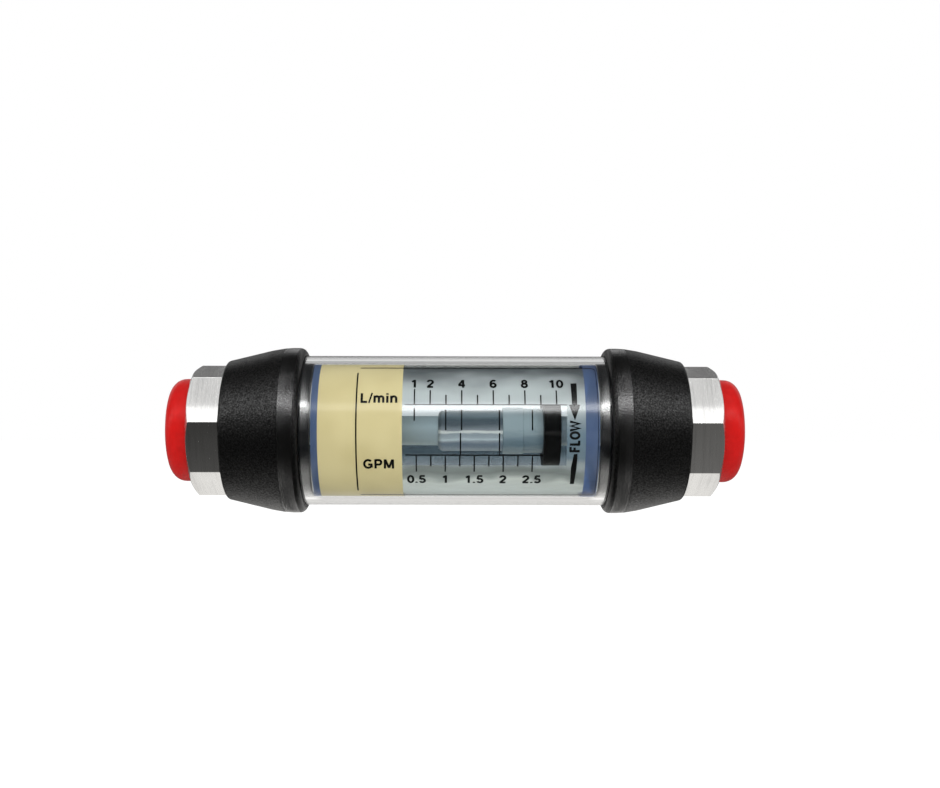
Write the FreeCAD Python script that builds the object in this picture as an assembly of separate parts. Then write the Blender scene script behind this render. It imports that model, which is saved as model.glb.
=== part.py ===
import FreeCAD, Part
import math
import os

# An in-line variable-area flow meter for oil, lying along +X, the way the flow runs.
# The scale faces -Y and +Z is up. All sizes are in millimetres.

os.makedirs("parts", exist_ok=True)

vector = FreeCAD.Vector
origin = vector(0, 0, 0)
along = vector(1, 0, 0)

# Clearances
slip = 0.05              # between round pieces that are assembled and then stay put
running = 0.08           # between round pieces that turn or slide on each other
axial_play = 0.3         # end play of the window between the two fittings
seal_clearance = 0.05    # round each seal ring in its groove

# End fittings, in distances from the face of the port inwards
face_to_face = 168.0
wrench_sides = 8
wrench_flats = 39.4
wrench_length = 10.4
wrench_turn = 6.6        # degrees from the front up to the nearest corner
wrench_chamfer = 30.0    # degrees that the corner chamfer leans from the face
face_circle = 38.8       # diameter at which that chamfer meets the face
edge_break = 0.25
cut_margin = 1.0         # how far a cutting shape reaches past the corners it cuts
hub_diameter = 38.4
hub_length = 16.1
spigot_diameter = 30.0
spigot_length = 6.5
thread_minor = 24.12     # diameter inside the threads of a G 3/4 port
thread_length = 13.5
relief_diameter = 26.9   # plain mouth of the port
relief_depth = 4.5
pocket_diameter = 15.0   # pocket behind the thread, for the spider
pocket_depth = 4.5
stop_bore = 6.0          # flow passage through the web that stops the piston
stop_length = 1.0
casing_grip = 7.5        # how far the casing goes into the fitting
follower_pocket = 17.0   # diameter of the pocket that the indicator enters at zero

# Casing
casing_diameter = 9.6
casing_bore = 8.0

# Seal rings
casing_seal_section = 1.4
casing_seal_back = 3.5   # from the end of the casing to the middle of its seal
window_seal_section = 1.2
window_seal_back = 2.2   # from the end of the guard to the middle of its seal

# Window
guard_diameter = 48.5
guard_bore = 43.8
guard_play = 0.1         # end play of the guard between the rings' flanges
ring_length = 12.3
ring_wall = 1.8
ring_web = 5.2
ring_flange = 0.8
support_diameter = 42.4
support_wall = 0.8
support_play = 0.1
film_margin = 0.2        # bare strip of the support at each end of the film
film_wall = 0.2
film_half_wrap = 100.0   # degrees each way from the front

# Bumpers, in distances from the lip over the guard
bumper_length = 25.2
bumper_lip_diameter = 49.6
bumper_lip_round = 2.1
bumper_lead = 0.5        # chamfer inside the lip
bumper_widest = 4.1
bumper_widest_diameter = 53.66
bumper_land = 6.8
bumper_land_diameter = 53.3
bumper_shoulder = 10.7
bumper_shoulder_diameter = 52.0
bumper_end_diameter = 45.0
bumper_end_round = 1.0
bumper_gap = 0.2         # shadow gap between the bumper and the wrench flats

# Spider and its snap ring
spider_thickness = 2.2
spider_rim = 1.7
spider_legs = 3
spider_leg_width = 1.5
spider_hub = 4.4
snap_ring_thickness = 1.0
snap_ring_wall = 1.5
snap_ring_depth = 0.6    # how far the ring's groove goes into the wall
snap_ring_gap = 50.0     # degrees

# Metering cone
cone_thread = 1.9        # diameter of its threaded ends and of its stem
cone_neck = 2.6
cone_large = 4.7
cone_zero_land = 1.5     # straight length at the large end
cone_taper = 50.0
cone_collar = 3.2
cone_collar_length = 2.0
cone_end = 2.1           # threaded end past the spider
nut_flats = 3.8
nut_thickness = 1.6

# Piston
magnet_middle_x = 5.0    # of both magnets, with the index at 10 on the scale
zero_travel = 47.0       # from there back to no flow
magnet_length = 10.0
piston_guide_length = 13.2
piston_bore = 5.4
magnet_land = 6.0        # diameter of the carrier inside the magnet
magnet_retainer_thickness = 1.2
orifice_bore = 4.84
orifice_diameter = 6.6
orifice_thickness = 0.8
orifice_edge = 0.15      # straight part of the sharp edge
orifice_clip_thickness = 0.5
orifice_clip_wall = 0.45
spring_wire = 0.6
spring_mean_diameter = 6.6
spring_turns = 12
spring_seat_thickness = 1.0
spring_seat_bore = 5.8

# Indicator, the magnetic follower on the outside of the casing
barrel_length = 20.8
barrel_diameter = 13.2
barrel_wall = 0.6
barrel_round = 1.6
sleeve_wall = 0.5
collar_diameter = 14.4
collar_length = 12.9
collar_step = 6.6        # length of the collar's thicker end
collar_step_height = 0.35
index_width = 5.5
index_diameter = 23.2
index_edge = 0.3

# Port plugs
plug_flange_diameter = 33.3
plug_height = 8.15
plug_round = 4.2
plug_wall = 1.9
plug_crown = 0.6         # how far the end bulges
plug_skirt_length = 4.1
plug_seat_gap = 0.05

# Places along the axis that follow from the sizes above
face_x = face_to_face / 2
relief_x = face_x - relief_depth
thread_x = relief_x - thread_length
pocket_x = thread_x - pocket_depth
stop_x = pocket_x - stop_length
grip_x = stop_x - casing_grip
wrench_x = face_x - wrench_length
hub_x = wrench_x - hub_length
spigot_x = hub_x - spigot_length
ring_end_x = hub_x - axial_play
guard_x = ring_end_x - ring_flange - guard_play
ring_x = ring_end_x - ring_length
bumper_end_x = wrench_x - bumper_gap
bumper_x = bumper_end_x - bumper_length
magnet_x = magnet_middle_x - magnet_length / 2
magnet_end_x = magnet_x + magnet_length
piston_x = magnet_x - piston_guide_length
piston_end_x = magnet_end_x + magnet_retainer_thickness
barrel_x = magnet_middle_x - barrel_length / 2
barrel_end_x = barrel_x + barrel_length
index_x = barrel_end_x + collar_length
index_end_x = index_x + index_width
spring_seat_x = stop_x - spring_seat_thickness

# Diameters that follow from what the pieces fit
casing_hole = casing_diameter + 2 * slip
ring_diameter = guard_bore - 2 * slip
ring_bore = spigot_diameter + 2 * running
guard_pocket = guard_diameter + 2 * running
magnet_diameter = casing_bore - 2 * running - 2 * slip
piston_diameter = casing_bore - 2 * running
sleeve_bore = casing_diameter + 2 * running
sleeve_diameter = sleeve_bore + 2 * sleeve_wall
barrel_bore = barrel_diameter - 2 * barrel_wall
cup_diameter = relief_diameter - 2 * slip


def outline(start, *steps):
    """A closed face in the X-Z plane from (x, diameter) corners. A step of two corners is an arc."""
    def place(corner):
        return vector(corner[0], 0, corner[1] / 2)

    edges = []
    here = place(start)
    for step in steps + (start,):
        if isinstance(step[0], tuple):
            middle, end = place(step[0]), place(step[1])
            edges.append(Part.Arc(here, middle, end).toShape())
        else:
            end = place(step)
            edges.append(Part.LineSegment(here, end).toShape())
        here = end
    return Part.Face(Part.Wire(edges))


def turned(start, *steps):
    """The outline turned about the meter's axis."""
    return outline(start, *steps).revolve(origin, along, 360)


def ring(x, length, inner, outer):
    """A plain ring from x onwards, with its two diameters."""
    return turned((x, inner), (x + length, inner), (x + length, outer), (x, outer))


def bar(x, length, diameter):
    """A round bar from x onwards."""
    return Part.makeCylinder(diameter / 2, length, vector(x, 0, 0), along)


def round_corner(x, diameter, radius, across, down):
    """The end and the middle of a quarter round that replaces a corner of an outline.

    across and down are the signs of the ways that the round leaves the corner along x and along the radius."""
    slack = radius * (1 - math.sqrt(0.5))
    middle = (x + across * slack, diameter + down * 2 * slack)
    on_end = (x, diameter + down * 2 * radius)
    on_side = (x + across * radius, diameter)
    return on_end, middle, on_side


def prism(sides, flats, x, length, turn):
    """A bar with flat sides, with one corner turned up by an angle from the front."""
    radius = flats / 2 / math.cos(math.pi / sides)
    corners = []
    for i in range(sides + 1):
        angle = math.radians(turn) + 2 * math.pi * i / sides
        corners.append(vector(x, -radius * math.cos(angle), radius * math.sin(angle)))
    return Part.Face(Part.makePolygon(corners)).extrude(along * length)


def save(name, shape):
    shape.removeSplitter().exportStep("parts/" + name + ".step")


def save_pair(name, shape):
    """The piece at the outlet, and its mirror image at the inlet."""
    save("right_" + name, shape)
    save("left_" + name, shape.mirror(origin, along))


def end_fitting():
    """Octagon, hub and spigot in one turned piece, bored for the port, the spider and the casing."""
    octagon = prism(wrench_sides, wrench_flats, wrench_x, wrench_length, wrench_turn)
    corner_circle = wrench_flats / math.cos(math.pi / wrench_sides) + cut_margin
    chamfer_depth = (corner_circle - face_circle) / 2 * math.tan(math.radians(wrench_chamfer))
    envelope = turned(
        (wrench_x, 0), (face_x, 0), (face_x, face_circle),
        (face_x - chamfer_depth, corner_circle), (wrench_x, corner_circle),
    )
    body = octagon.common(envelope)
    body = body.fuse(bar(hub_x, hub_length, hub_diameter))
    body = body.fuse(bar(spigot_x, spigot_length, spigot_diameter))
    groove_x = stop_x - casing_seal_back - casing_seal_section / 2 - seal_clearance
    groove_end_x = groove_x + casing_seal_section + 2 * seal_clearance
    groove_diameter = casing_diameter + 2 * casing_seal_section + 4 * seal_clearance
    snap_x = pocket_x + spider_thickness
    snap_end_x = snap_x + snap_ring_thickness + seal_clearance
    snap_diameter = pocket_diameter + 2 * snap_ring_depth
    passage = turned(
        (spigot_x, 0), (spigot_x, follower_pocket), (grip_x, follower_pocket),
        (grip_x, casing_hole), (groove_x, casing_hole), (groove_x, groove_diameter),
        (groove_end_x, groove_diameter), (groove_end_x, casing_hole), (stop_x, casing_hole),
        (stop_x, stop_bore), (pocket_x, stop_bore), (pocket_x, pocket_diameter),
        (snap_x, pocket_diameter), (snap_x, snap_diameter), (snap_end_x, snap_diameter),
        (snap_end_x, pocket_diameter), (thread_x, pocket_diameter), (thread_x, thread_minor),
        (relief_x, thread_minor), (relief_x, relief_diameter),
        (face_x - edge_break, relief_diameter), (face_x, relief_diameter + 2 * edge_break),
        (face_x, 0),
    )
    return body.cut(passage)


def casing_tube():
    return ring(-stop_x, 2 * stop_x, casing_bore, casing_diameter)


def casing_seal():
    """Seal ring between the casing and the fitting's bore."""
    middle = casing_diameter / 2 + seal_clearance + casing_seal_section / 2
    return Part.makeTorus(middle, casing_seal_section / 2, vector(stop_x - casing_seal_back, 0, 0), along)


def spider():
    """Rim, legs and hub that carry one end of the metering cone in the flow."""
    rim_diameter = pocket_diameter - 2 * slip
    rim_bore = rim_diameter - 2 * spider_rim
    body = ring(pocket_x, spider_thickness, rim_bore, rim_diameter)
    reach = (rim_bore + rim_diameter) / 4
    for i in range(spider_legs):
        leg = Part.makeBox(spider_thickness, spider_leg_width, reach, vector(pocket_x, -spider_leg_width / 2, 0))
        leg.rotate(origin, along, 360 * i / spider_legs)
        body = body.fuse(leg)
    body = body.fuse(bar(pocket_x, spider_thickness, spider_hub))
    return body.cut(bar(pocket_x, spider_thickness, cone_thread + 2 * slip))


def snap_ring():
    """Sprung ring with a gap, in the groove that keeps the spider in place."""
    outer = pocket_diameter + 2 * snap_ring_depth - 2 * slip
    x = pocket_x + spider_thickness
    section = Part.Face(Part.makePolygon([
        vector(x, 0, outer / 2),
        vector(x + snap_ring_thickness, 0, outer / 2),
        vector(x + snap_ring_thickness, 0, outer / 2 - snap_ring_wall),
        vector(x, 0, outer / 2 - snap_ring_wall),
        vector(x, 0, outer / 2),
    ]))
    section.rotate(origin, along, snap_ring_gap / 2)
    return section.revolve(origin, along, 360 - snap_ring_gap)


def metering_cone():
    """Tapered shaft: the gap round it in the orifice grows as the piston moves towards the outlet."""
    large_x = piston_x - zero_travel
    taper_x = large_x + cone_zero_land
    taper_end_x = taper_x + cone_taper
    end_x = pocket_x + spider_thickness + cone_end
    collar_x = pocket_x - cone_collar_length
    return turned(
        (-end_x, 0), (-end_x, cone_thread), (-pocket_x, cone_thread), (-pocket_x, cone_neck),
        (large_x, cone_neck), (large_x, cone_large), (taper_x, cone_large),
        (taper_end_x, cone_thread), (collar_x, cone_thread), (collar_x, cone_collar),
        (pocket_x, cone_collar), (pocket_x, cone_thread), (end_x, cone_thread), (end_x, 0),
    )


def cone_nut():
    x = pocket_x + spider_thickness
    return prism(6, nut_flats, x, nut_thickness, 0).cut(bar(x, nut_thickness, cone_thread + 2 * slip))


def piston_carrier():
    """Guide bush that slides in the casing, with a seat for the orifice and a land for the magnet."""
    seat_end_x = piston_x + orifice_thickness + orifice_clip_thickness
    return turned(
        (piston_x, orifice_diameter + 2 * slip), (seat_end_x, orifice_diameter + 2 * slip),
        (seat_end_x, piston_bore), (piston_end_x, piston_bore), (piston_end_x, magnet_land),
        (magnet_x, magnet_land), (magnet_x, piston_diameter), (piston_x, piston_diameter),
    )


def orifice_disc():
    """Thin disc with a sharp edge on the side that meets the flow."""
    x = piston_x + orifice_clip_thickness
    end_x = x + orifice_thickness
    relief = orifice_thickness - orifice_edge
    return turned(
        (x, orifice_bore), (x + orifice_edge, orifice_bore),
        (end_x, orifice_bore + relief / 2), (end_x, orifice_diameter), (x, orifice_diameter),
    )


def orifice_clip():
    """Ring that holds the orifice against the seat in the carrier."""
    clip_bore = orifice_diameter - 2 * orifice_clip_wall
    return ring(piston_x, orifice_clip_thickness, clip_bore, orifice_diameter)


def transfer_magnet():
    return ring(magnet_x, magnet_length, magnet_land + 2 * slip, magnet_diameter)


def magnet_retainer():
    """Ring that holds the magnet on its land, and takes the spring."""
    return ring(magnet_end_x, magnet_retainer_thickness, magnet_land + 2 * slip, magnet_diameter)


def return_spring():
    """Compression spring with its end faces ground flat."""
    length = spring_seat_x - piston_end_x
    pitch = length / spring_turns
    radius = spring_mean_diameter / 2
    coil = Part.makeHelix(pitch, length + 2 * pitch, radius)
    section = Part.makeCircle(spring_wire / 2, vector(radius, 0, 0), vector(0, 1, 0))
    wire = Part.Wire(coil).makePipeShell([Part.Wire(section)], True, True)
    wire.rotate(origin, vector(0, 1, 0), 90)
    wire.translate(vector(piston_end_x - pitch, 0, 0))
    return wire.common(bar(piston_end_x, length, spring_mean_diameter + 2 * spring_wire))


def spring_seat():
    """Washer between the spring and the fixed web at the outlet."""
    return ring(spring_seat_x, spring_seat_thickness, spring_seat_bore, casing_bore - 2 * slip)


def indicator_sleeve():
    """Thin tube that runs on the casing and carries the whole indicator."""
    return ring(barrel_x, index_end_x - barrel_x, sleeve_bore, sleeve_diameter)


def indicator_magnet():
    return ring(magnet_x, magnet_length, sleeve_diameter + 2 * slip, barrel_bore - 2 * slip)


def magnet_barrel():
    """Metal shell over the indicator's magnet, with a rounded shoulder at the inlet end."""
    hole = sleeve_diameter + 2 * slip
    on_end, middle, on_side = round_corner(barrel_x, barrel_diameter, barrel_round, 1, -1)
    return turned(
        (barrel_x, hole), (magnet_x, hole), (magnet_x, barrel_bore),
        (magnet_end_x, barrel_bore), (magnet_end_x, hole), (barrel_end_x, hole),
        (barrel_end_x, barrel_diameter), on_side, (middle, on_end),
    )


def indicator_collar():
    """Pale spacer between the barrel and the index, thicker next to the barrel."""
    hole = sleeve_diameter + 2 * slip
    thick = collar_diameter + 2 * collar_step_height
    return turned(
        (barrel_end_x, hole), (index_x, hole), (index_x, collar_diameter),
        (barrel_end_x + collar_step, collar_diameter), (barrel_end_x + collar_step, thick),
        (barrel_end_x, thick),
    )


def index_ring():
    """Black ring that is read against the scale."""
    hole = sleeve_diameter + 2 * slip
    return turned(
        (index_x, hole), (index_end_x, hole), (index_end_x, index_diameter - 2 * index_edge),
        (index_end_x - index_edge, index_diameter), (index_x + index_edge, index_diameter),
        (index_x, index_diameter - 2 * index_edge),
    )


def guard_tube():
    return ring(-guard_x, 2 * guard_x, guard_bore, guard_diameter)


def centring_ring():
    """Ring that carries the end of the guard and turns on the fitting's spigot."""
    web_x = ring_end_x - ring_web
    flange_x = ring_end_x - ring_flange
    wall_bore = ring_diameter - 2 * ring_wall
    seal_x = guard_x - window_seal_back - window_seal_section / 2 - seal_clearance
    seal_end_x = seal_x + window_seal_section + 2 * seal_clearance
    groove_diameter = guard_bore - 2 * window_seal_section - 4 * seal_clearance
    return turned(
        (ring_x, wall_bore), (web_x, wall_bore), (web_x, ring_bore), (ring_end_x, ring_bore),
        (ring_end_x, guard_diameter - 2 * slip), (flange_x, guard_diameter - 2 * slip),
        (flange_x, ring_diameter), (seal_end_x, ring_diameter), (seal_end_x, groove_diameter),
        (seal_x, groove_diameter), (seal_x, ring_diameter), (ring_x, ring_diameter),
    )


def window_seal():
    """Seal ring between the centring ring and the guard."""
    middle = guard_bore / 2 - seal_clearance - window_seal_section / 2
    x = guard_x - window_seal_back
    return Part.makeTorus(middle, window_seal_section / 2, vector(x, 0, 0), along)


def scale_support():
    """Clear tube between the centring rings, which the scale is wrapped round."""
    half = ring_x - support_play
    return ring(-half, 2 * half, support_diameter - 2 * support_wall, support_diameter)


def scale_film():
    """Printed film round the front of its support."""
    inner = support_diameter / 2 + slip
    x = film_margin - ring_x
    film_length = -2 * x
    section = Part.Face(Part.makePolygon([
        vector(x, 0, inner),
        vector(x + film_length, 0, inner),
        vector(x + film_length, 0, inner + film_wall),
        vector(x, 0, inner + film_wall),
        vector(x, 0, inner),
    ]))
    section.rotate(origin, along, 90 - film_half_wrap)
    return section.revolve(origin, along, 2 * film_half_wrap)


def bumper():
    """Moulded rubber sleeve over the hub and the end of the guard."""
    end_face, end_middle, end_side = round_corner(
        bumper_end_x, bumper_end_diameter, bumper_end_round, -1, -1
    )
    lip_top_x = bumper_x + bumper_lip_round
    lip_top = bumper_lip_diameter + 2 * bumper_lip_round
    slack = bumper_lip_round * (1 - math.sqrt(0.5))
    lip_middle = (bumper_x + slack, lip_top - 2 * slack)
    return turned(
        (hub_x, guard_pocket), (hub_x, hub_diameter + 2 * slip),
        (bumper_end_x, hub_diameter + 2 * slip), end_face, (end_middle, end_side),
        (bumper_x + bumper_shoulder, bumper_shoulder_diameter),
        (bumper_x + bumper_land, bumper_land_diameter),
        (bumper_x + bumper_widest, bumper_widest_diameter), (lip_top_x, lip_top),
        (lip_middle, (bumper_x, bumper_lip_diameter)),
        (bumper_x + bumper_lead, guard_pocket),
    )


def port_plug():
    """Soft cap that keeps dirt out of the port: a rounded head on a hollow skirt."""
    seat_x = face_x + plug_seat_gap
    top_x = face_x + plug_height
    skirt_x = face_x - plug_skirt_length
    cavity = cup_diameter - 2 * plug_wall
    inside_x = top_x - plug_wall - plug_crown
    side, middle, on_top = round_corner(
        top_x - plug_crown, plug_flange_diameter, plug_round, -1, -1
    )
    crown_middle = (top_x - plug_crown / 4, side[1] / 2)
    return turned(
        (skirt_x, cavity), (inside_x, cavity), (inside_x, 0), (top_x, 0),
        (crown_middle, side), (middle, on_top), (seat_x, plug_flange_diameter),
        (seat_x, cup_diameter), (skirt_x, cup_diameter),
    )


save_pair("end_fitting", end_fitting())
save_pair("casing_seal", casing_seal())
save_pair("spider", spider())
save_pair("snap_ring", snap_ring())
save_pair("cone_nut", cone_nut())
save_pair("centring_ring", centring_ring())
save_pair("window_seal", window_seal())
save_pair("bumper", bumper())
save_pair("port_plug", port_plug())
save("casing_tube", casing_tube())
save("metering_cone", metering_cone())
save("piston_carrier", piston_carrier())
save("orifice_disc", orifice_disc())
save("orifice_clip", orifice_clip())
save("transfer_magnet", transfer_magnet())
save("magnet_retainer", magnet_retainer())
save("return_spring", return_spring())
save("spring_seat", spring_seat())
save("indicator_sleeve", indicator_sleeve())
save("indicator_magnet", indicator_magnet())
save("magnet_barrel", magnet_barrel())
save("indicator_collar", indicator_collar())
save("index_ring", index_ring())
save("guard_tube", guard_tube())
save("scale_support", scale_support())
save("scale_film", scale_film())
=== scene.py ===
import math

import bmesh
import bpy
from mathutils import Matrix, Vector


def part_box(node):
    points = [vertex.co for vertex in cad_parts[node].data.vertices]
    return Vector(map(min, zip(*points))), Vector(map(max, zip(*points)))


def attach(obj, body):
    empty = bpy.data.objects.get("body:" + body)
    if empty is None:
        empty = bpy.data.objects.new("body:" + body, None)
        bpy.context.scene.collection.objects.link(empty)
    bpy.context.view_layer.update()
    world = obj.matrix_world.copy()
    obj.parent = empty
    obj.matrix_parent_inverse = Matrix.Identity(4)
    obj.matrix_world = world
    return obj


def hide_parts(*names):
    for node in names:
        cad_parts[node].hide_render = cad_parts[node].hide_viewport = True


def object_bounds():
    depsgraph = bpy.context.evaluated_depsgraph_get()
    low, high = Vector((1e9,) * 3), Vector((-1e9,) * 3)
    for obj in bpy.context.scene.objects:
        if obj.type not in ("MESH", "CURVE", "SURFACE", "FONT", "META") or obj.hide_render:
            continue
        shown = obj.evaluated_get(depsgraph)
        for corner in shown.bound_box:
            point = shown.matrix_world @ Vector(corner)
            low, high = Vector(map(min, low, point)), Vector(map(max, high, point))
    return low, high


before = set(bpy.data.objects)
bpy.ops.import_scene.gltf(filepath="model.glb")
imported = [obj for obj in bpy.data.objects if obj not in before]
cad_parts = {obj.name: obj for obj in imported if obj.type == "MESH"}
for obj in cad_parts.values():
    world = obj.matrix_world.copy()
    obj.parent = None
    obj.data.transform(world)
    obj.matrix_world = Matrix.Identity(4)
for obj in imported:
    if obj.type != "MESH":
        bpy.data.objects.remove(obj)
cad_low, cad_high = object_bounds()

# Lengths are in metres. X runs along the meter, the scale faces -Y and +Z is up.
mm = 0.001
px = 0.3268 * mm         # one pixel of the picture, at the depth of the axis

# The photograph's frame and where the meter lies in it, in pixels
photo_width = 940
photo_height = 788
meter_across = 455.0
meter_down = 430.6
camera_distance = 392 * mm
sensor_width = 36.0
camera_roll = math.radians(-0.13)

# Fitting
face_x = 84.0 * mm
wrench_x = 73.6 * mm
hub_x = 57.5 * mm
spigot_x = 51.0 * mm
wrench_sides = 8
wrench_flats = 39.4 * mm
wrench_turn = math.radians(6.6)
wrench_chamfer = math.radians(30)
wrench_corner_round = 0.35 * mm
crease_round = 0.12 * mm
edge_break = 0.25 * mm
face_circle = 38.8 * mm
hub_diameter = 38.4 * mm
spigot_diameter = 30.0 * mm
thread_x = 66.0 * mm
relief_x = 79.5 * mm
thread_minor = 24.12 * mm
thread_major = 26.4 * mm
thread_pitch = 1.814 * mm
relief_diameter = 26.9 * mm
pocket_x = 61.5 * mm
pocket_diameter = 15.0 * mm
snap_x = 63.7 * mm
snap_end_x = 64.75 * mm
snap_diameter = 16.2 * mm
stop_x = 60.5 * mm
stop_bore = 6.0 * mm
grip_x = 53.0 * mm
casing_hole = 9.7 * mm
follower_pocket = 17.0 * mm

# Bumper
guard_pocket = 48.66 * mm
bumper_hole = 38.5 * mm
bumper_lip_diameter = 49.6 * mm
bumper_lip_round = 2.1 * mm
bumper_lead = 0.5 * mm
bumper_end_diameter = 45.0 * mm

# Window
guard_bore = 43.8 * mm
guard_edge = 0.35 * mm
support_diameter = 42.4 * mm
support_wall = 0.8 * mm
film_radius = 21.45 * mm
film_wall = 0.2 * mm
film_wrap = math.radians(100)
ring_wall = 1.8 * mm
ring_bore = 30.16 * mm
ring_web = 5.2 * mm
ring_flange = 0.8 * mm

# Print, along the meter and round the film from its front line
ink = 0.02 * mm
panel_left = -42.6 * mm
panel_right = -16.4 * mm
blue_left = 40.4 * mm
window_top = 7.85 * mm
window_bottom = -10.98 * mm
window_right = 34.6 * mm
frame_top = 23.0 * mm
frame_bottom = -24.4 * mm
line_width = 0.44 * mm
numeral_height = 3.1 * mm
numeral_rise = 15.35 * mm
numeral_drop = -16.05 * mm

# Casing, indicator and plugs
casing_bore = 8.0 * mm
follower_play = 0.1 * mm
collar_step = 6.6 * mm
collar_diameter = 14.4 * mm
plug_skirt = 26.8 * mm
plug_wall = 1.9 * mm
plug_face = 2.5 * mm
plug_crown = 0.6 * mm
plug_gap = 0.05 * mm

# Faces round a turned piece, and how close to a round its straight sides get one more point
segments = 256
guide_reach = 0.15 * mm


def arc_points(before, corner, after, radius, steps):
    """Points of a round of this radius in place of a corner."""
    a = (Vector(before) - Vector(corner)).normalized()
    b = (Vector(after) - Vector(corner)).normalized()
    half = a.angle(b) / 2
    reach = radius / math.tan(half)
    centre = Vector(corner) + (a + b).normalized() * (radius / math.sin(half))
    start = Vector(corner) + a * reach - centre
    sweep = start.angle_signed(Vector(corner) + b * reach - centre)
    points = []
    for i in range(steps + 1):
        turn = -sweep * i / steps
        x = start.x * math.cos(turn) - start.y * math.sin(turn)
        y = start.x * math.sin(turn) + start.y * math.cos(turn)
        points.append((centre.x + x, centre.y + y))
    return points


def towards(start, end):
    """A point close to the start, and no further than a third of the way to the end."""
    way = Vector(end) - Vector(start)
    there = Vector(start) + way * min(guide_reach / way.length, 1 / 3)
    return (there.x, there.y)


def outline(*corners, steps=5):
    """A closed outline from (x, diameter) or (x, diameter, radius of the round) corners."""
    places = [(c[0], c[1] / 2) for c in corners]
    points = []
    for i, corner in enumerate(corners):
        if len(corner) == 3:
            before = places[i - 1]
            after = places[(i + 1) % len(places)]
            arc = arc_points(before, places[i], after, corner[2], steps)
            points += [towards(arc[0], before), *arc, towards(arc[-1], after)]
        else:
            points.append(places[i])
    return points


def new_object(name, data):
    obj = bpy.data.objects.new(name, data)
    bpy.context.scene.collection.objects.link(obj)
    return obj


def solid(name, vertices, faces, sharp=30):
    """A closed mesh object, smooth but for edges sharper than this many degrees."""
    mesh = bpy.data.meshes.new(name)
    mesh.from_pydata(vertices, [], faces)
    work = bmesh.new()
    work.from_mesh(mesh)
    bmesh.ops.remove_doubles(work, verts=work.verts, dist=1e-8)
    bmesh.ops.recalc_face_normals(work, faces=work.faces)
    work.to_mesh(mesh)
    work.free()
    mesh.shade_smooth()
    mesh.set_sharp_from_angle(angle=math.radians(sharp))
    return new_object(name, mesh)


def swept(name, angles, outline_at, side=1, closed=True, sharp=30):
    """A solid from one closed outline of (x, radius) points for each angle round the axis."""
    vertices = []
    faces = []
    for angle in angles:
        for x, radius in outline_at(angle):
            vertices.append((side * x, -radius * math.cos(angle), radius * math.sin(angle)))
    count = len(vertices) // len(angles)
    columns = len(angles)
    for i in range(columns if closed else columns - 1):
        here = i * count
        there = (i + 1) % columns * count
        for j in range(count):
            k = (j + 1) % count
            on_axis = vertices[here + j][1:] == vertices[there + j][1:]
            if not (on_axis and vertices[here + k][1:] == vertices[there + k][1:]):
                faces.append((here + j, there + j, there + k, here + k))
    if not closed:
        faces.append(tuple(range(count)))
        faces.append(tuple(range((columns - 1) * count, columns * count)))
    return solid(name, vertices, faces, sharp)


def turned(name, points, side=1, sharp=30):
    """The outline turned about the axis."""
    angles = [2 * math.pi * i / segments for i in range(segments)]
    return swept(name, angles, lambda angle: points, side, sharp=sharp)


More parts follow.
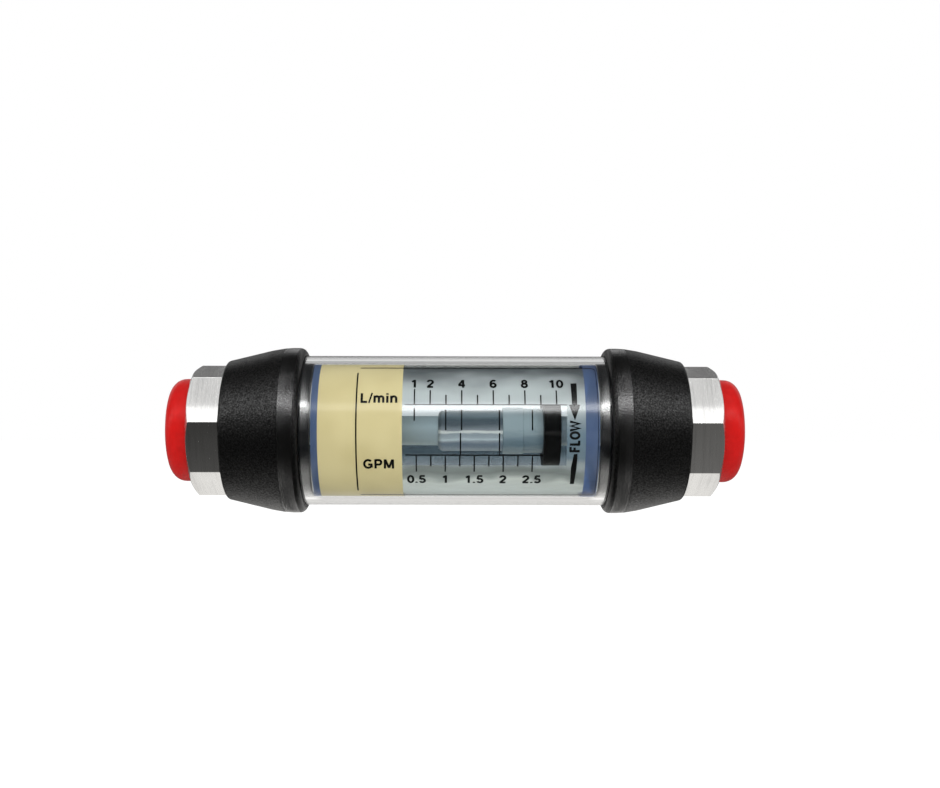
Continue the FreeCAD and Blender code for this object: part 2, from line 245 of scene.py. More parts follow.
class Shader:
    """The node tree of a material or of the world, with short calls that add to it."""

    def __init__(self, name, world=False):
        self.world = world
        self.owner = (bpy.data.worlds if world else bpy.data.materials).new(name)
        self.owner.use_nodes = True
        self.tree = self.owner.node_tree
        self.tree.nodes.clear()

    def node(self, kind, inputs=None, **settings):
        made = self.tree.nodes.new("ShaderNode" + kind)
        for key, value in settings.items():
            setattr(made, key, value)
        for key, value in (inputs or {}).items():
            if isinstance(value, bpy.types.NodeSocket):
                self.tree.links.new(value, made.inputs[key])
            else:
                made.inputs[key].default_value = value
        return made

    def coordinates(self, scale=(1, 1, 1), place=(0, 0, 0)):
        """The object's own coordinates in millimetres, then scaled."""
        source = self.node("TexCoord").outputs["Object"]
        scale = tuple(s / mm for s in scale)
        inputs = {"Vector": source, "Scale": scale, "Location": place}
        return self.node("Mapping", inputs).outputs["Vector"]

    def axis(self, name):
        """The place along one of the object's own axes, in millimetres."""
        return self.node("SeparateXYZ", {0: self.coordinates()}).outputs[name]

    def noise(self, scale, stretch=(1, 1, 1), detail=3.0, roughness=0.5, place=(0, 0, 0)):
        """Noise with this many waves per millimetre."""
        inputs = {
            "Vector": self.coordinates(stretch, place), "Scale": scale,
            "Detail": detail, "Roughness": roughness,
        }
        return self.node("TexNoise", inputs).outputs["Fac"]

    def cells(self, scale):
        """Distance from the middle of small cells, this many in a millimetre."""
        inputs = {"Vector": self.coordinates(), "Scale": scale}
        return self.node("TexVoronoi", inputs, feature="F1").outputs["Distance"]

    def ramp(self, value, *stops):
        """A colour ramp with (place, colour) stops."""
        made = self.node("ValToRGB", {"Fac": value})
        points = made.color_ramp.elements
        while len(points) < len(stops):
            points.new(0.5)
        for point, (place, colour) in zip(points, stops):
            point.position = place
            point.color = (*colour, 1)
        return made.outputs["Color"]

    def spread(self, value, low, high, start=0.3, end=0.7):
        """The value mapped from start and end to low and high."""
        inputs = {
            "Value": value, "From Min": start, "From Max": end, "To Min": low, "To Max": high,
        }
        return self.node("MapRange", inputs).outputs["Result"]

    def calc(self, operation, *values, **settings):
        """One step of arithmetic on plain numbers."""
        inputs = dict(enumerate(values))
        return self.node("Math", inputs, operation=operation, **settings).outputs[0]

    def sum(self, first, second, share=1.0):
        return self.calc("MULTIPLY_ADD", second, share, first)

    def product(self, first, second):
        return self.calc("MULTIPLY", first, second)

    def bump(self, height, strength, distance):
        inputs = {"Height": height, "Strength": strength, "Distance": distance}
        return self.node("Bump", inputs).outputs["Normal"]

    def principled(self, **inputs):
        """A Principled shader. An underscore stands for a space in an input's name."""
        named = {key.replace("_", " "): value for key, value in inputs.items()}
        if isinstance(named["Base Color"], tuple):
            named["Base Color"] = (*named["Base Color"], 1)
        return self.node("BsdfPrincipled", named).outputs["BSDF"]

    def plain(self, kind, colour=(1, 1, 1), **inputs):
        """A simple shader, its colour given or from another node."""
        if isinstance(colour, tuple):
            colour = (*colour, 1)
        return self.node(kind, {"Color": colour, **inputs}).outputs[0]

    def clear(self, colour=(1, 1, 1)):
        return self.plain("BsdfTransparent", colour)

    def mix(self, share, first, second):
        return self.node("MixShader", {0: share, 1: first, 2: second}).outputs["Shader"]

    def lets_lamps_through(self, shader, tint=(1, 1, 1)):
        """The shader, but see-through for shadow rays and for light gathered by dull surfaces."""
        path = self.node("LightPath").outputs
        share = self.calc("MAXIMUM", path["Is Shadow Ray"], path["Is Diffuse Ray"])
        return self.mix(share, shader, self.clear(tint))

    def level_ramp(self, value, *stops):
        """Grey levels at values, between which they change evenly."""
        start = stops[0][0]
        end = stops[-1][0]
        unit = 4.0
        share = self.spread(value, 0.0, 1.0, start, end)
        places = [((at - start) / (end - start), (level / unit,) * 3) for at, level in stops]
        return self.product(self.ramp(share, *places), unit)

    def above(self, value, limit):
        return self.calc("GREATER_THAN", value, limit)

    def blend(self, share, first, second):
        """One plain number passing into another."""
        return self.node("Mix", {0: share, 2: first, 3: second}, data_type="FLOAT").outputs[0]

    def finish(self, shader):
        kind = "OutputWorld" if self.world else "OutputMaterial"
        self.node(kind, {"Surface": shader})
        return self.owner


def brushed_aluminium():
    """Turned and brushed metal, its fine lines running round the axis."""
    s = Shader("brushed_aluminium")
    lines = s.noise(9.0, (1, 0.012, 0.012), 4.0, 0.65)
    bands = s.noise(1.1, (1, 0.02, 0.02), 2.0, 0.5, (31, 0, 0))
    cloud = s.noise(0.12, place=(5, 9, 2))
    tone = s.sum(s.sum(lines, bands, 0.6), cloud, 0.35)
    colour = s.ramp(tone, (0.55, (0.58, 0.575, 0.565)), (1.25, (0.9, 0.895, 0.88)))
    around = s.node("Tangent", direction_type="RADIAL", axis="X").outputs["Tangent"]
    shares = {"Base_Color": colour, "Metallic": 1.0, "Anisotropic_Rotation": 0.25,
              "Tangent": around}
    sharp = s.principled(Roughness=0.05, Anisotropic=0.9, **shares)
    lean = s.bump(lines, 0.2, 0.01 * mm)
    rough = s.spread(lines, 0.2, 0.3)
    soft = s.principled(Roughness=rough, Anisotropic=0.9, Normal=lean, **shares)
    return s.finish(s.mix(0.32, sharp, soft))


def grained_rubber():
    """Black moulded rubber with a fine grain, smoother on the land next to the lip."""
    s = Shader("grained_rubber")
    grain = s.cells(1.7)
    fine = s.noise(1.5, detail=4.0, roughness=0.75)
    glint = s.noise(1.9, detail=4.0, roughness=0.8, place=(4, 7, 1))
    cloud = s.noise(0.09, detail=2.0)
    land_middle = 52.2
    land_half = 2.3
    land = s.calc("COMPARE", s.calc("ABSOLUTE", s.axis("X")), land_middle, land_half)
    height = s.sum(grain, fine, 0.7)
    shine = s.spread(glint, 0.1, 0.75, 0.42, 0.68)
    return s.finish(s.principled(
        Base_Color=s.ramp(cloud, (0.3, (0.002, 0.002, 0.002)), (0.7, (0.0032, 0.0032, 0.0031))),
        Roughness=s.blend(land, 0.33, 0.19),
        Specular_IOR_Level=s.blend(land, shine, s.sum(shine, 0.6)),
        Normal=s.bump(height, s.blend(land, 0.55, 0.35), 0.12 * mm),
    ))


def clear_plastic():
    """The guard's thick clear plastic, with hairline marks along it."""
    s = Shader("clear_plastic")
    haze = s.noise(0.8, (0.05, 1, 1), 3.0, 0.6)
    glass = s.principled(
        Base_Color=(0.99, 0.995, 0.99), Roughness=s.spread(haze, 0.0, 0.02), IOR=1.5,
        Transmission_Weight=1.0,
    )
    return s.finish(s.lets_lamps_through(glass, (0.97, 0.975, 0.975)))


def faint_gloss(s, body):
    """The body with the faint shine of a clear film."""
    haze = s.noise(0.5, (0.1, 1, 1), 3.0, 0.6)
    return s.mix(0.012, body, s.plain("BsdfGlossy", Roughness=s.spread(haze, 0.03, 0.09)))


def film_clear_plastic():
    """Thin clear film that only tints and shines."""
    s = Shader("film_clear")
    return s.finish(faint_gloss(s, s.clear((0.98, 0.985, 0.985))))


def film_margin_plastic():
    """The film beyond the frame line, tinted grey, darker just above the upper frame line."""
    s = Shader("film_margin")
    z = s.axis("Z")
    high = s.spread(z, 0.0, 1.0, 18.8, 20.4)
    low = s.spread(z, 0.0, 1.0, 0.0, -1.0)
    share = s.calc("MAXIMUM", high, low)
    return s.finish(s.clear(s.ramp(share, (0.0, (0.5, 0.51, 0.51)), (1.0, (0.86, 0.86, 0.85)))))


def support_plastic():
    """Clear tube, its rear half tinted with painted shade, darkest below its middle."""
    s = Shader("support_plastic")
    up = s.spread(s.axis("Z"), 0.0, 1.0, -20.0, 20.0)
    # Painted shade on the rear half: light and dark bands up its height, darkest below the middle
    rear_painted_shade = s.ramp(
        up, (0.0, (0.97, 0.97, 0.95)), (0.1, (0.93, 0.94, 0.92)),
        (0.2, (0.48, 0.51, 0.53)), (0.27, (0.36, 0.41, 0.44)), (0.31, (0.25, 0.3, 0.33)),
        (0.37, (0.25, 0.3, 0.33)), (0.48, (0.45, 0.52, 0.55)), (0.6, (0.8, 0.83, 0.84)),
        (0.72, (0.97, 0.98, 0.98)), (0.87, (0.97, 0.98, 0.98)), (0.93, (0.65, 0.66, 0.67)),
        (0.96, (0.5, 0.52, 0.53)), (1.0, (0.5, 0.52, 0.53)),
    )
    rear = s.above(s.axis("Y"), 1.0)
    tinted = s.mix(rear, s.clear((0.955, 0.975, 0.99)), s.clear(rear_painted_shade))
    return s.finish(faint_gloss(s, tinted))


def blue_print():
    """Thin blue print that light passes through."""
    s = Shader("blue_print")
    cloud = s.noise(0.12, (1, 0.5, 0.5), 2.5)
    satin = s.principled(
        Base_Color=s.ramp(cloud, (0.35, (0.1, 0.155, 0.29)), (0.65, (0.15, 0.22, 0.37))),
        Roughness=0.3,
    )
    return s.finish(s.mix(0.45, satin, s.clear((0.3, 0.45, 0.75))))


def gloss_black():
    s = Shader("gloss_black")
    cloud = s.noise(0.4, (1, 0.1, 0.1))
    return s.finish(s.principled(
        Base_Color=s.ramp(cloud, (0.3, (0.006, 0.007, 0.008)), (0.7, (0.012, 0.013, 0.015))),
        Roughness=s.spread(cloud, 0.08, 0.16), IOR=2.0, Coat_Weight=1.0, Coat_IOR=1.7,
        Coat_Roughness=0.05,
    ))


def dull_rubber():
    s = Shader("dull_rubber")
    fine = s.noise(2.0, detail=4.0)
    return s.finish(s.principled(
        Base_Color=s.ramp(fine, (0.3, (0.01, 0.01, 0.01)), (0.7, (0.02, 0.02, 0.02))),
        Roughness=s.spread(fine, 0.5, 0.7), Normal=s.bump(fine, 0.2, 0.05 * mm),
    ))


def cream_panel():
    """Printed cream plastic film."""
    s = Shader("cream_panel")
    fleck = s.noise(1.6, detail=4.0, roughness=0.7)
    cloud = s.noise(0.06, detail=2.0)
    tone = s.sum(cloud, fleck, 0.25)
    return s.finish(s.principled(
        Base_Color=s.ramp(tone, (0.4, (0.63, 0.54, 0.27)), (0.8, (0.72, 0.63, 0.335))),
        Roughness=0.42, Specular_IOR_Level=0.4, Normal=s.bump(fleck, 0.04, 0.03 * mm),
    ))


def frosted_film():
    """The film's satin print with painted light and shade in bands up its height, which lets a
    little through, and more towards its lower edge.
    """
    s = Shader("frosted_film")
    cloud = s.noise(0.07, (0.5, 1, 1), 2.5, 0.55, (3, 1, 7))
    z = s.axis("Z")
    up = s.spread(s.sum(z, s.spread(cloud, -2.0, 2.0, 0.35, 0.65)), 0.0, 1.0, -20.0, 20.0)
    # Painted light and shade: bands of light and dark up the film's height
    colour = s.ramp(
        up, (0.03, (1.0, 0.99, 0.92)), (0.09, (0.95, 0.95, 0.87)),
        (0.12, (0.44, 0.46, 0.43)), (0.15, (0.28, 0.3, 0.28)), (0.19, (0.34, 0.37, 0.35)),
        (0.24, (0.56, 0.61, 0.61)), (0.27, (0.5, 0.56, 0.58)), (0.31, (0.25, 0.34, 0.4)),
        (0.5, (0.25, 0.36, 0.44)), (0.71, (0.76, 0.82, 0.83)), (0.78, (0.76, 0.82, 0.82)),
        (0.84, (0.6, 0.64, 0.65)), (0.89, (0.34, 0.37, 0.38)), (0.93, (0.16, 0.18, 0.19)),
        (0.97, (0.14, 0.15, 0.16)),
    )
    satin = s.principled(Base_Color=colour, Roughness=0.4, Specular_IOR_Level=0.3)
    print_body = s.mix(0.4, satin, s.plain("BsdfTranslucent", colour))
    share = s.spread(z, 0.3, 0.75, -12.0, -18.5)
    body = s.mix(share, print_body, s.clear((0.8, 0.84, 0.83)))
    return s.finish(s.lets_lamps_through(body, (0.8, 0.84, 0.86)))


def black_ink():
    s = Shader("black_ink")
    fleck = s.noise(2.2, detail=4.0)
    return s.finish(s.principled(
        Base_Color=s.ramp(fleck, (0.3, (0.0015, 0.0015, 0.0015)), (0.7, (0.003, 0.003, 0.003))),
        Roughness=0.5, Specular_IOR_Level=0.1,
    ))


def polished_metal(name, dark, light, low, high, lines=6.0, bump=0.08, metallic=1.0):
    """Machined metal whose fine lines run round the axis."""
    s = Shader(name)
    marks = s.noise(lines, (1, 0.03, 0.03), 4.0, 0.6)
    cloud = s.noise(0.15, detail=2.0)
    tone = s.sum(marks, cloud, 0.6)
    return s.finish(s.principled(
        Base_Color=s.ramp(tone, (0.55, dark), (1.0, light)), Metallic=metallic,
        Roughness=s.spread(marks, low, high), Normal=s.bump(marks, bump, 0.01 * mm),
    ))


def barrel_painted_reflections():
    """The barrel's metal, with painted reflections and painted shade in bands along it."""
    s = Shader("barrel_metal")
    cloud = s.noise(0.5, (0.25, 1, 1), 3.0, 0.6)
    shifted = s.sum(s.axis("Z"), s.spread(cloud, -0.25, 0.25, 0.35, 0.65))
    up = s.spread(shifted, 0.0, 1.0, -6.0, 6.0)
    # Painted highlights and painted shade: light and dark bands up the barrel's height
    colour = s.ramp(
        up, (0.0, (0.38, 0.43, 0.48)), (0.14, (0.28, 0.33, 0.4)),
        (0.2, (0.42, 0.46, 0.5)), (0.26, (0.85, 0.9, 0.9)), (0.31, (0.6, 0.64, 0.66)),
        (0.41, (0.45, 0.49, 0.52)), (0.44, (1.0, 0.97, 0.9)), (0.48, (1.0, 0.97, 0.9)),
        (0.51, (0.4, 0.41, 0.42)), (0.57, (0.28, 0.3, 0.32)), (0.66, (0.13, 0.15, 0.17)),
        (0.79, (0.12, 0.15, 0.17)), (0.9, (0.3, 0.35, 0.37)),
    )
    return s.finish(s.principled(
        Base_Color=colour, Metallic=0.1, Roughness=0.3, Normal=s.bump(cloud, 0.05, 0.02 * mm),
    ))


def moulded(name, dark, light, low, high, grain=0.8, bump=0.1, **more):
    """Plain moulded plastic with a faint grain."""
    s = Shader(name)
    fine = s.noise(grain, detail=4.0, roughness=0.55)
    return s.finish(s.principled(
        Base_Color=s.ramp(fine, (0.3, dark), (0.7, light)),
        Roughness=s.spread(fine, low, high), Normal=s.bump(fine, bump, 0.03 * mm), **more,
    ))


def satin_collar():
    """The collar's pale plastic, with painted shade deepening its tone towards its underside."""
    s = Shader("pale_collar")
    fine = s.noise(0.6, (0.3, 1, 1))
    up = s.spread(s.sum(s.axis("Z"), s.spread(fine, -0.8, 0.8)), 0.0, 1.0, -8.0, 8.0)
    # Painted shade: darker bands towards the underside
    colour = s.ramp(
        up, (0.1, (0.34, 0.4, 0.42)), (0.25, (0.2, 0.27, 0.31)),
        (0.36, (0.28, 0.35, 0.38)), (0.5, (0.46, 0.53, 0.54)), (0.85, (0.52, 0.58, 0.58)),
    )
    return s.finish(s.principled(
        Base_Color=colour, Roughness=0.36, Normal=s.bump(fine, 0.1, 0.03 * mm),
    ))


aluminium = brushed_aluminium()
rubber = grained_rubber()
plastic = clear_plastic()
support_clear = support_plastic()
film_clear = film_clear_plastic()
film_margin = film_margin_plastic()
blue_band = blue_print()
black = gloss_black()
seal = dull_rubber()
cream = cream_panel()
frost = frosted_film()
black_print = black_ink()
casing_metal = polished_metal(
    "casing_metal", (0.58, 0.66, 0.68), (0.68, 0.76, 0.78), 0.35, 0.45, metallic=0.2
)
barrel_metal = barrel_painted_reflections()
brass = polished_metal("brass", (0.62, 0.42, 0.16), (0.8, 0.6, 0.28), 0.2, 0.34)
steel = polished_metal("steel", (0.42, 0.42, 0.42), (0.68, 0.67, 0.66), 0.2, 0.32)
sintered = polished_metal(
    "sintered", (0.09, 0.09, 0.095), (0.17, 0.17, 0.175), 0.4, 0.55, lines=2.0, bump=0.3
)
pale_collar = satin_collar()
index_black = moulded(
    "index_black", (0.002, 0.002, 0.002), (0.004, 0.004, 0.004), 0.35, 0.5,
    Specular_IOR_Level=0.15,
)
red_plastic = moulded(
    "red_plastic", (0.53, 0.003, 0.002), (0.61, 0.004, 0.003), 0.3, 0.38, grain=0.5,
    Subsurface_Weight=0.05, Subsurface_Scale=0.8 * mm, Specular_IOR_Level=0.22,
)


def dress(obj, material, slot, body, *nodes):
    """Gives a piece its material and body, and hides the nodes it stands for. The slot is not
    used.
    """
    obj.data.materials.append(material)
    if nodes:
        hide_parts(*nodes)
    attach(obj, body)


def reach_of(box):
    """How far from the meter's middle a piece's box starts and ends, and its diameter."""
    low, high = box
    return min(abs(low.x), abs(high.x)), max(abs(low.x), abs(high.x)), 2 * high.z


def octagon_radius(angle):
    """Distance from the axis to the wrench flats, with a small round at each corner."""
    flat = 2 * math.pi / wrench_sides
    inner = wrench_flats / 2 - wrench_corner_round
    off_corner = (angle - wrench_turn + flat / 2) % flat - flat / 2
    off_middle = abs(abs(off_corner) - flat / 2)
    plain = wrench_flats / 2 / math.cos(off_middle)
    if plain * math.sin(off_middle) <= inner * math.tan(flat / 2):
        return plain
    centre = inner / math.cos(flat / 2)
    across = centre * math.sin(abs(off_corner))
    return centre * math.cos(off_corner) + math.sqrt(wrench_corner_round ** 2 - across ** 2)


def octagon_angles():
    """Angles round the octagon, closer together at its corners."""
    flat = 2 * math.pi / wrench_sides
    offsets = (-0.95, -0.75, -0.5, -0.25, 0, 0.25, 0.5, 0.75, 0.95)
    near = [math.radians(d) for d in (0.12, 0.25, 0.38, 0.6)]
    angles = []
    for i in range(wrench_sides):
        corner = wrench_turn + i * flat
        angles += [corner - d for d in near] + [corner] + [corner + d for d in near]
        span = flat / 2 - 2 * near[-1]
        angles += [corner + flat / 2 + span * d for d in offsets]
    return sorted(a % (2 * math.pi) for a in angles)


def fitting(side_name, side):
    """Octagon with its chamfer and brushed flats, hub, spigot and bored passage."""
    lean = math.tan(wrench_chamfer)

    def outline_at(angle):
        across = octagon_radius(angle)
        outer_crease = face_x - (across - face_circle / 2) * lean
        return outline(
            (spigot_x, follower_pocket), (spigot_x, spigot_diameter, edge_break),
            (hub_x, spigot_diameter), (hub_x, hub_diameter, edge_break),
            (wrench_x, hub_diameter), (wrench_x, 2 * across, crease_round),
            (outer_crease, 2 * across, crease_round), (face_x, face_circle, crease_round),
            (face_x, relief_diameter + 2 * edge_break),
            (face_x - edge_break, relief_diameter), (relief_x, relief_diameter),
            (relief_x, thread_major), (thread_x, thread_major), (thread_x, pocket_diameter),
            (snap_end_x, pocket_diameter), (snap_end_x, snap_diameter),
            (snap_x, snap_diameter), (snap_x, pocket_diameter), (pocket_x, pocket_diameter),
            (pocket_x, stop_bore), (stop_x, stop_bore), (stop_x, casing_hole),
            (grip_x, casing_hole), (grip_x, follower_pocket), steps=3,
        )

    obj = swept(side_name + "_fitting", octagon_angles(), outline_at, side, sharp=8)
    dress(obj, aluminium, "end_metal", "root", side_name + "_end_fitting")


def port_thread(side_name, side):
    """The helical ridge of the port's pipe thread."""
    per_turn = 96
    turns = (relief_x - thread_x) / thread_pitch - 0.6
    count = int(turns * per_turn)
    vertices = []
    faces = []
    crest = 0.13 * thread_pitch
    root = 0.42 * thread_pitch
    for i in range(count + 1):
        angle = 2 * math.pi * i / per_turn
        fade = min(1, 3 * i / per_turn, 3 * (count - i) / per_turn)
        top = thread_major / 2 - (thread_major - thread_minor) / 2 * fade
        middle = thread_x + 0.5 * thread_pitch + thread_pitch * i / per_turn
        base = thread_major / 2 + 0.05 * mm
        for x, r in ((-root, base), (-crest, top), (crest, top), (root, base)):
            vertices.append((side * (middle + x), -r * math.cos(angle), r * math.sin(angle)))
    for i in range(count):
        for j in range(4):
            k = (j + 1) % 4
            faces.append((4 * i + j, 4 * i + 4 + j, 4 * i + 4 + k, 4 * i + k))
    faces.append((0, 1, 2, 3))
    faces.append(tuple(4 * count + j for j in range(4)))
    obj = solid(side_name + "_port_thread", vertices, faces, 20)
    dress(obj, aluminium, "end_metal", "root")


def bumper(side_name, side):
    """Moulded rubber sleeve with its big rounded lip, land and long cone."""
    start, end, _ = reach_of(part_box(side_name + "_bumper"))
    points = outline(
        (hub_x, guard_pocket), (hub_x, bumper_hole), (end, bumper_hole, 0.3 * mm),
        (end, bumper_end_diameter, 1.0 * mm),
        (start + 10.7 * mm, 52.0 * mm, 14 * mm), (start + 6.8 * mm, 53.3 * mm, 6 * mm),
        (start + 4.1 * mm, 53.66 * mm, 6 * mm),
        (start, bumper_lip_diameter + 4.0 * mm, bumper_lip_round),
        (start, bumper_lip_diameter, 0.25 * mm), (start + bumper_lead, guard_pocket), steps=8,
    )
    obj = turned(side_name + "_bumper_sleeve", points, side, 35)
    dress(obj, rubber, "bumper_rubber", "root", side_name + "_bumper")


def centring_ring(side_name, side):
    """Gloss black ring under the end of the guard."""
    start, end, flange = reach_of(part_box(side_name + "_centring_ring"))
    outer = guard_bore - 0.1 * mm
    wall_bore = outer - 2 * ring_wall
    seal_x = end - 3.75 * mm
    seal_end_x = seal_x + 1.3 * mm
    groove = guard_bore - 2.6 * mm
    points = outline(
        (start, wall_bore), (end - ring_web, wall_bore, 0.4 * mm), (end - ring_web, ring_bore),
        (end, ring_bore), (end, flange, 0.15 * mm), (end - ring_flange, flange),
        (end - ring_flange, outer), (seal_end_x, outer), (seal_end_x, groove),
        (seal_x, groove), (seal_x, outer),
        (start + 5.0 * mm, outer, 0.2 * mm), (start + 4.6 * mm, outer - 0.5 * mm, 0.2 * mm),
        (start + 4.2 * mm, outer, 0.2 * mm), (start, outer, 0.35 * mm), steps=4,
    )
    obj = turned(side_name + "_guard_ring", points, side)
    dress(obj, black, "ring_black", "window", side_name + "_centring_ring")


def guard():
    """Clear tube over the scale, its edges rounded."""
    low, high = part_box("guard_tube")
    points = outline(
        (low.x, guard_bore, guard_edge), (high.x, guard_bore, guard_edge),
        (high.x, 2 * high.z, guard_edge), (low.x, 2 * high.z, guard_edge), steps=4,
    )
    obj = turned("guard", points)
    dress(obj, plastic, "guard_clear", "window", "guard_tube")


def support():
    """Clear tube that the film is wrapped round."""
    low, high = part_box("scale_support")
    bore = support_diameter - 2 * support_wall
    points = outline(
        (low.x, bore), (high.x, bore), (high.x, support_diameter), (low.x, support_diameter)
    )
    obj = turned("film_support", points)
    dress(obj, support_clear, "support_clear", "window", "scale_support")


def film():
    """The printed film: a cream panel, a satin print, clear edges and the clear window."""
    low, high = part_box("scale_film")
    edge = film_wrap * film_radius
    inner = film_radius - film_wall
    patches = (
        ("film_left_edge", low.x, panel_left, -edge, edge, blue_band),
        ("film_panel", panel_left, panel_right, -edge, edge, cream),
        ("film_upper", panel_right, blue_left, window_top, frame_top, frost),
        ("film_lower", panel_right, blue_left, frame_bottom, window_bottom, frost),
        ("film_window", panel_right, window_right, window_bottom, window_top, film_clear),
        ("film_legend", window_right, blue_left, window_bottom, window_top, frost),
        ("film_top_margin", panel_right, blue_left, frame_top, edge, film_margin),
        ("film_bottom_margin", panel_right, blue_left, -edge, frame_bottom, film_margin),
        ("film_right_edge", blue_left, high.x, -edge, edge, blue_band),
    )
    for name, left, right, bottom, top, material in patches:
        points = [(left, inner), (right, inner), (right, film_radius), (left, film_radius)]
        start = bottom / film_radius
        span = top / film_radius - start
        steps = max(2, round(math.degrees(span)))
        angles = [start + span * i / steps for i in range(steps + 1)]
        patch = swept(name, angles, lambda angle: points, closed=False)
        dress(patch, material, "scale_print", "window")
        if name == "film_panel":
            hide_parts("scale_film")


def printed(name, work):
    """Bends flat closed shapes round the film and dresses them as print."""
    work.normal_update()
    step = math.radians(1.5) * film_radius
    heights = [v.co.y for v in work.verts]
    line = math.floor(min(heights) / step)
    while line * step < max(heights):
        parts = work.verts[:] + work.edges[:] + work.faces[:]
        bmesh.ops.bisect_plane(
            work, geom=parts, dist=1e-7, plane_co=(0, line * step, 0), plane_no=(0, 1, 0)
        )
        line += 1
    for v in work.verts:
        radius = film_radius + ink + v.co.z
        angle = v.co.y / film_radius
        v.co = (v.co.x, -radius * math.cos(angle), radius * math.sin(angle))
    bmesh.ops.recalc_face_normals(work, faces=work.faces)
    mesh = bpy.data.meshes.new(name)
    work.to_mesh(mesh)
    work.free()
    dress(new_object(name, mesh), black_print, "scale_print", "window")


def add_shape(work, corners):
    """A thin closed plate from flat corners."""
    low = [work.verts.new((x, y, -ink / 2)) for x, y in corners]
    high = [work.verts.new((x, y, ink / 2)) for x, y in corners]
    work.faces.new(low)
    work.faces.new(high)
    for i in range(len(corners)):
        k = (i + 1) % len(corners)
        work.faces.new((low[i], low[k], high[k], high[i]))


def add_bar(work, left, right, bottom, top):
    add_shape(work, [(left, bottom), (right, bottom), (right, top), (left, top)])


def add_tick(work, x, bottom, top, width=line_width):
    """An upright mark with its middle at x."""
    add_bar(work, x - width / 2, x + width / 2, bottom, top)


def add_ribbon(work, path, width, closed=False):
    """A thin closed plate of even width along a flat path."""
    count = len(path)
    rows = []
    for i, point in enumerate(path):
        before = path[i - 1] if closed or i > 0 else point
        after = path[(i + 1) % count] if closed or i < count - 1 else point
        first = (Vector(point) - Vector(before)).normalized() if before != point else None
        second = (Vector(after) - Vector(point)).normalized() if after != point else None
        first = first or second
        second = second or first
        across = (first.orthogonal() + second.orthogonal()).normalized()
        reach = width / 2 / max(0.5, across.dot(first.orthogonal()))
        left = Vector(point) + across * reach
        right = Vector(point) - across * reach
        corners = ((left, -1), (right, -1), (right, 1), (left, 1))
        rows.append([work.verts.new((at.x, at.y, up * ink / 2)) for at, up in corners])
    for i in range(count if closed else count - 1):
        here = rows[i]
        there = rows[(i + 1) % count]
        for j in range(4):
            k = (j + 1) % 4
            work.faces.new((here[j], here[k], there[k], there[j]))
    if not closed:
        work.faces.new(rows[0])
        work.faces.new(rows[-1])


def bow(x, y, across, up, start, end):
    """Points of part of an oval between two angles in degrees."""
    steps = max(3, round(abs(end - start) / 12))
    angles = [math.radians(start + (end - start) * i / steps) for i in range(steps + 1)]
    return [(x + across * math.cos(a), y + up * math.sin(a)) for a in angles]


# Bold upright letters as strokes on a grid whose unit is the height of a capital
letters = {
    "0": (0.72, [bow(0.36, 0.5, 0.255, 0.42, 0, 360)]),
    "1": (0.72, [[(0.415, 0), (0.415, 1)], [(0.43, 0.93), (0.13, 0.72)]]),
    "2": (0.72, [bow(0.35, 0.69, 0.25, 0.23, 175, -25) + [(0.13, 0.13), (0.09, 0.08)],
                 [(0.03, 0.08), (0.64, 0.08)]]),
    "4": (0.72, [[(0.5, 0), (0.5, 1)], [(0.46, 0.94), (0.08, 0.33)],
                 [(0.02, 0.29), (0.7, 0.29)]]),
    "5": (0.72, [[(0.15, 0.92), (0.61, 0.92)], [(0.19, 0.94), (0.13, 0.5)],
                 bow(0.35, 0.32, 0.25, 0.24, 140, -160)]),
    "6": (0.72, [bow(0.36, 0.31, 0.245, 0.235, 0, 360), bow(0.42, 0.52, 0.31, 0.4, 55, 195)]),
    "8": (0.72, [bow(0.35, 0.735, 0.2, 0.185, 0, 360), bow(0.35, 0.29, 0.25, 0.21, 0, 360)]),
    ".": (0.36, [[(0.17, 0), (0.17, 0.17)]]),
    "L": (0.78, [[(0.17, 0), (0.17, 1)], [(0.1, 0.08), (0.7, 0.08)]]),
    "/": (0.38, [[(0.04, -0.03), (0.34, 1.03)]]),
    "m": (1.16, [[(0.16, 0), (0.16, 0.74)], bow(0.37, 0.43, 0.21, 0.23, 170, 0) + [(0.58, 0)],
                 bow(0.79, 0.43, 0.21, 0.23, 170, 0) + [(1.0, 0)]]),
    "i": (0.36, [[(0.18, 0), (0.18, 0.73)], [(0.18, 0.84), (0.18, 1)]]),
    "n": (0.8, [[(0.16, 0), (0.16, 0.74)], bow(0.4, 0.42, 0.23, 0.24, 170, 0) + [(0.63, 0)]]),
    "G": (1.04, [bow(0.52, 0.5, 0.39, 0.42, 42, 318), [(0.52, 0.44), (0.94, 0.44)],
                 [(0.86, 0.5), (0.86, 0.1)]]),
    "P": (0.9, [[(0.17, 0), (0.17, 1)],
                [(0.17, 0.92), (0.5, 0.92)] + bow(0.5, 0.68, 0.24, 0.24, 90, -90)
                + [(0.17, 0.44)]]),
    "M": (1.12, [[(0.16, 0), (0.16, 1)], [(0.96, 0), (0.96, 1)],
                 [(0.2, 0.97), (0.56, 0.08)], [(0.92, 0.97), (0.56, 0.08)]]),
    "F": (0.84, [[(0.17, 0), (0.17, 1)], [(0.1, 0.92), (0.74, 0.92)],
                 [(0.1, 0.52), (0.66, 0.52)]]),
    "O": (1.06, [bow(0.53, 0.5, 0.4, 0.42, 0, 360)]),
    "W": (1.3, [[(0.07, 1), (0.35, 0.05), (0.65, 0.92), (0.95, 0.05), (1.23, 1)]]),
}
letter_stroke = 0.235
letter_space = 0.05


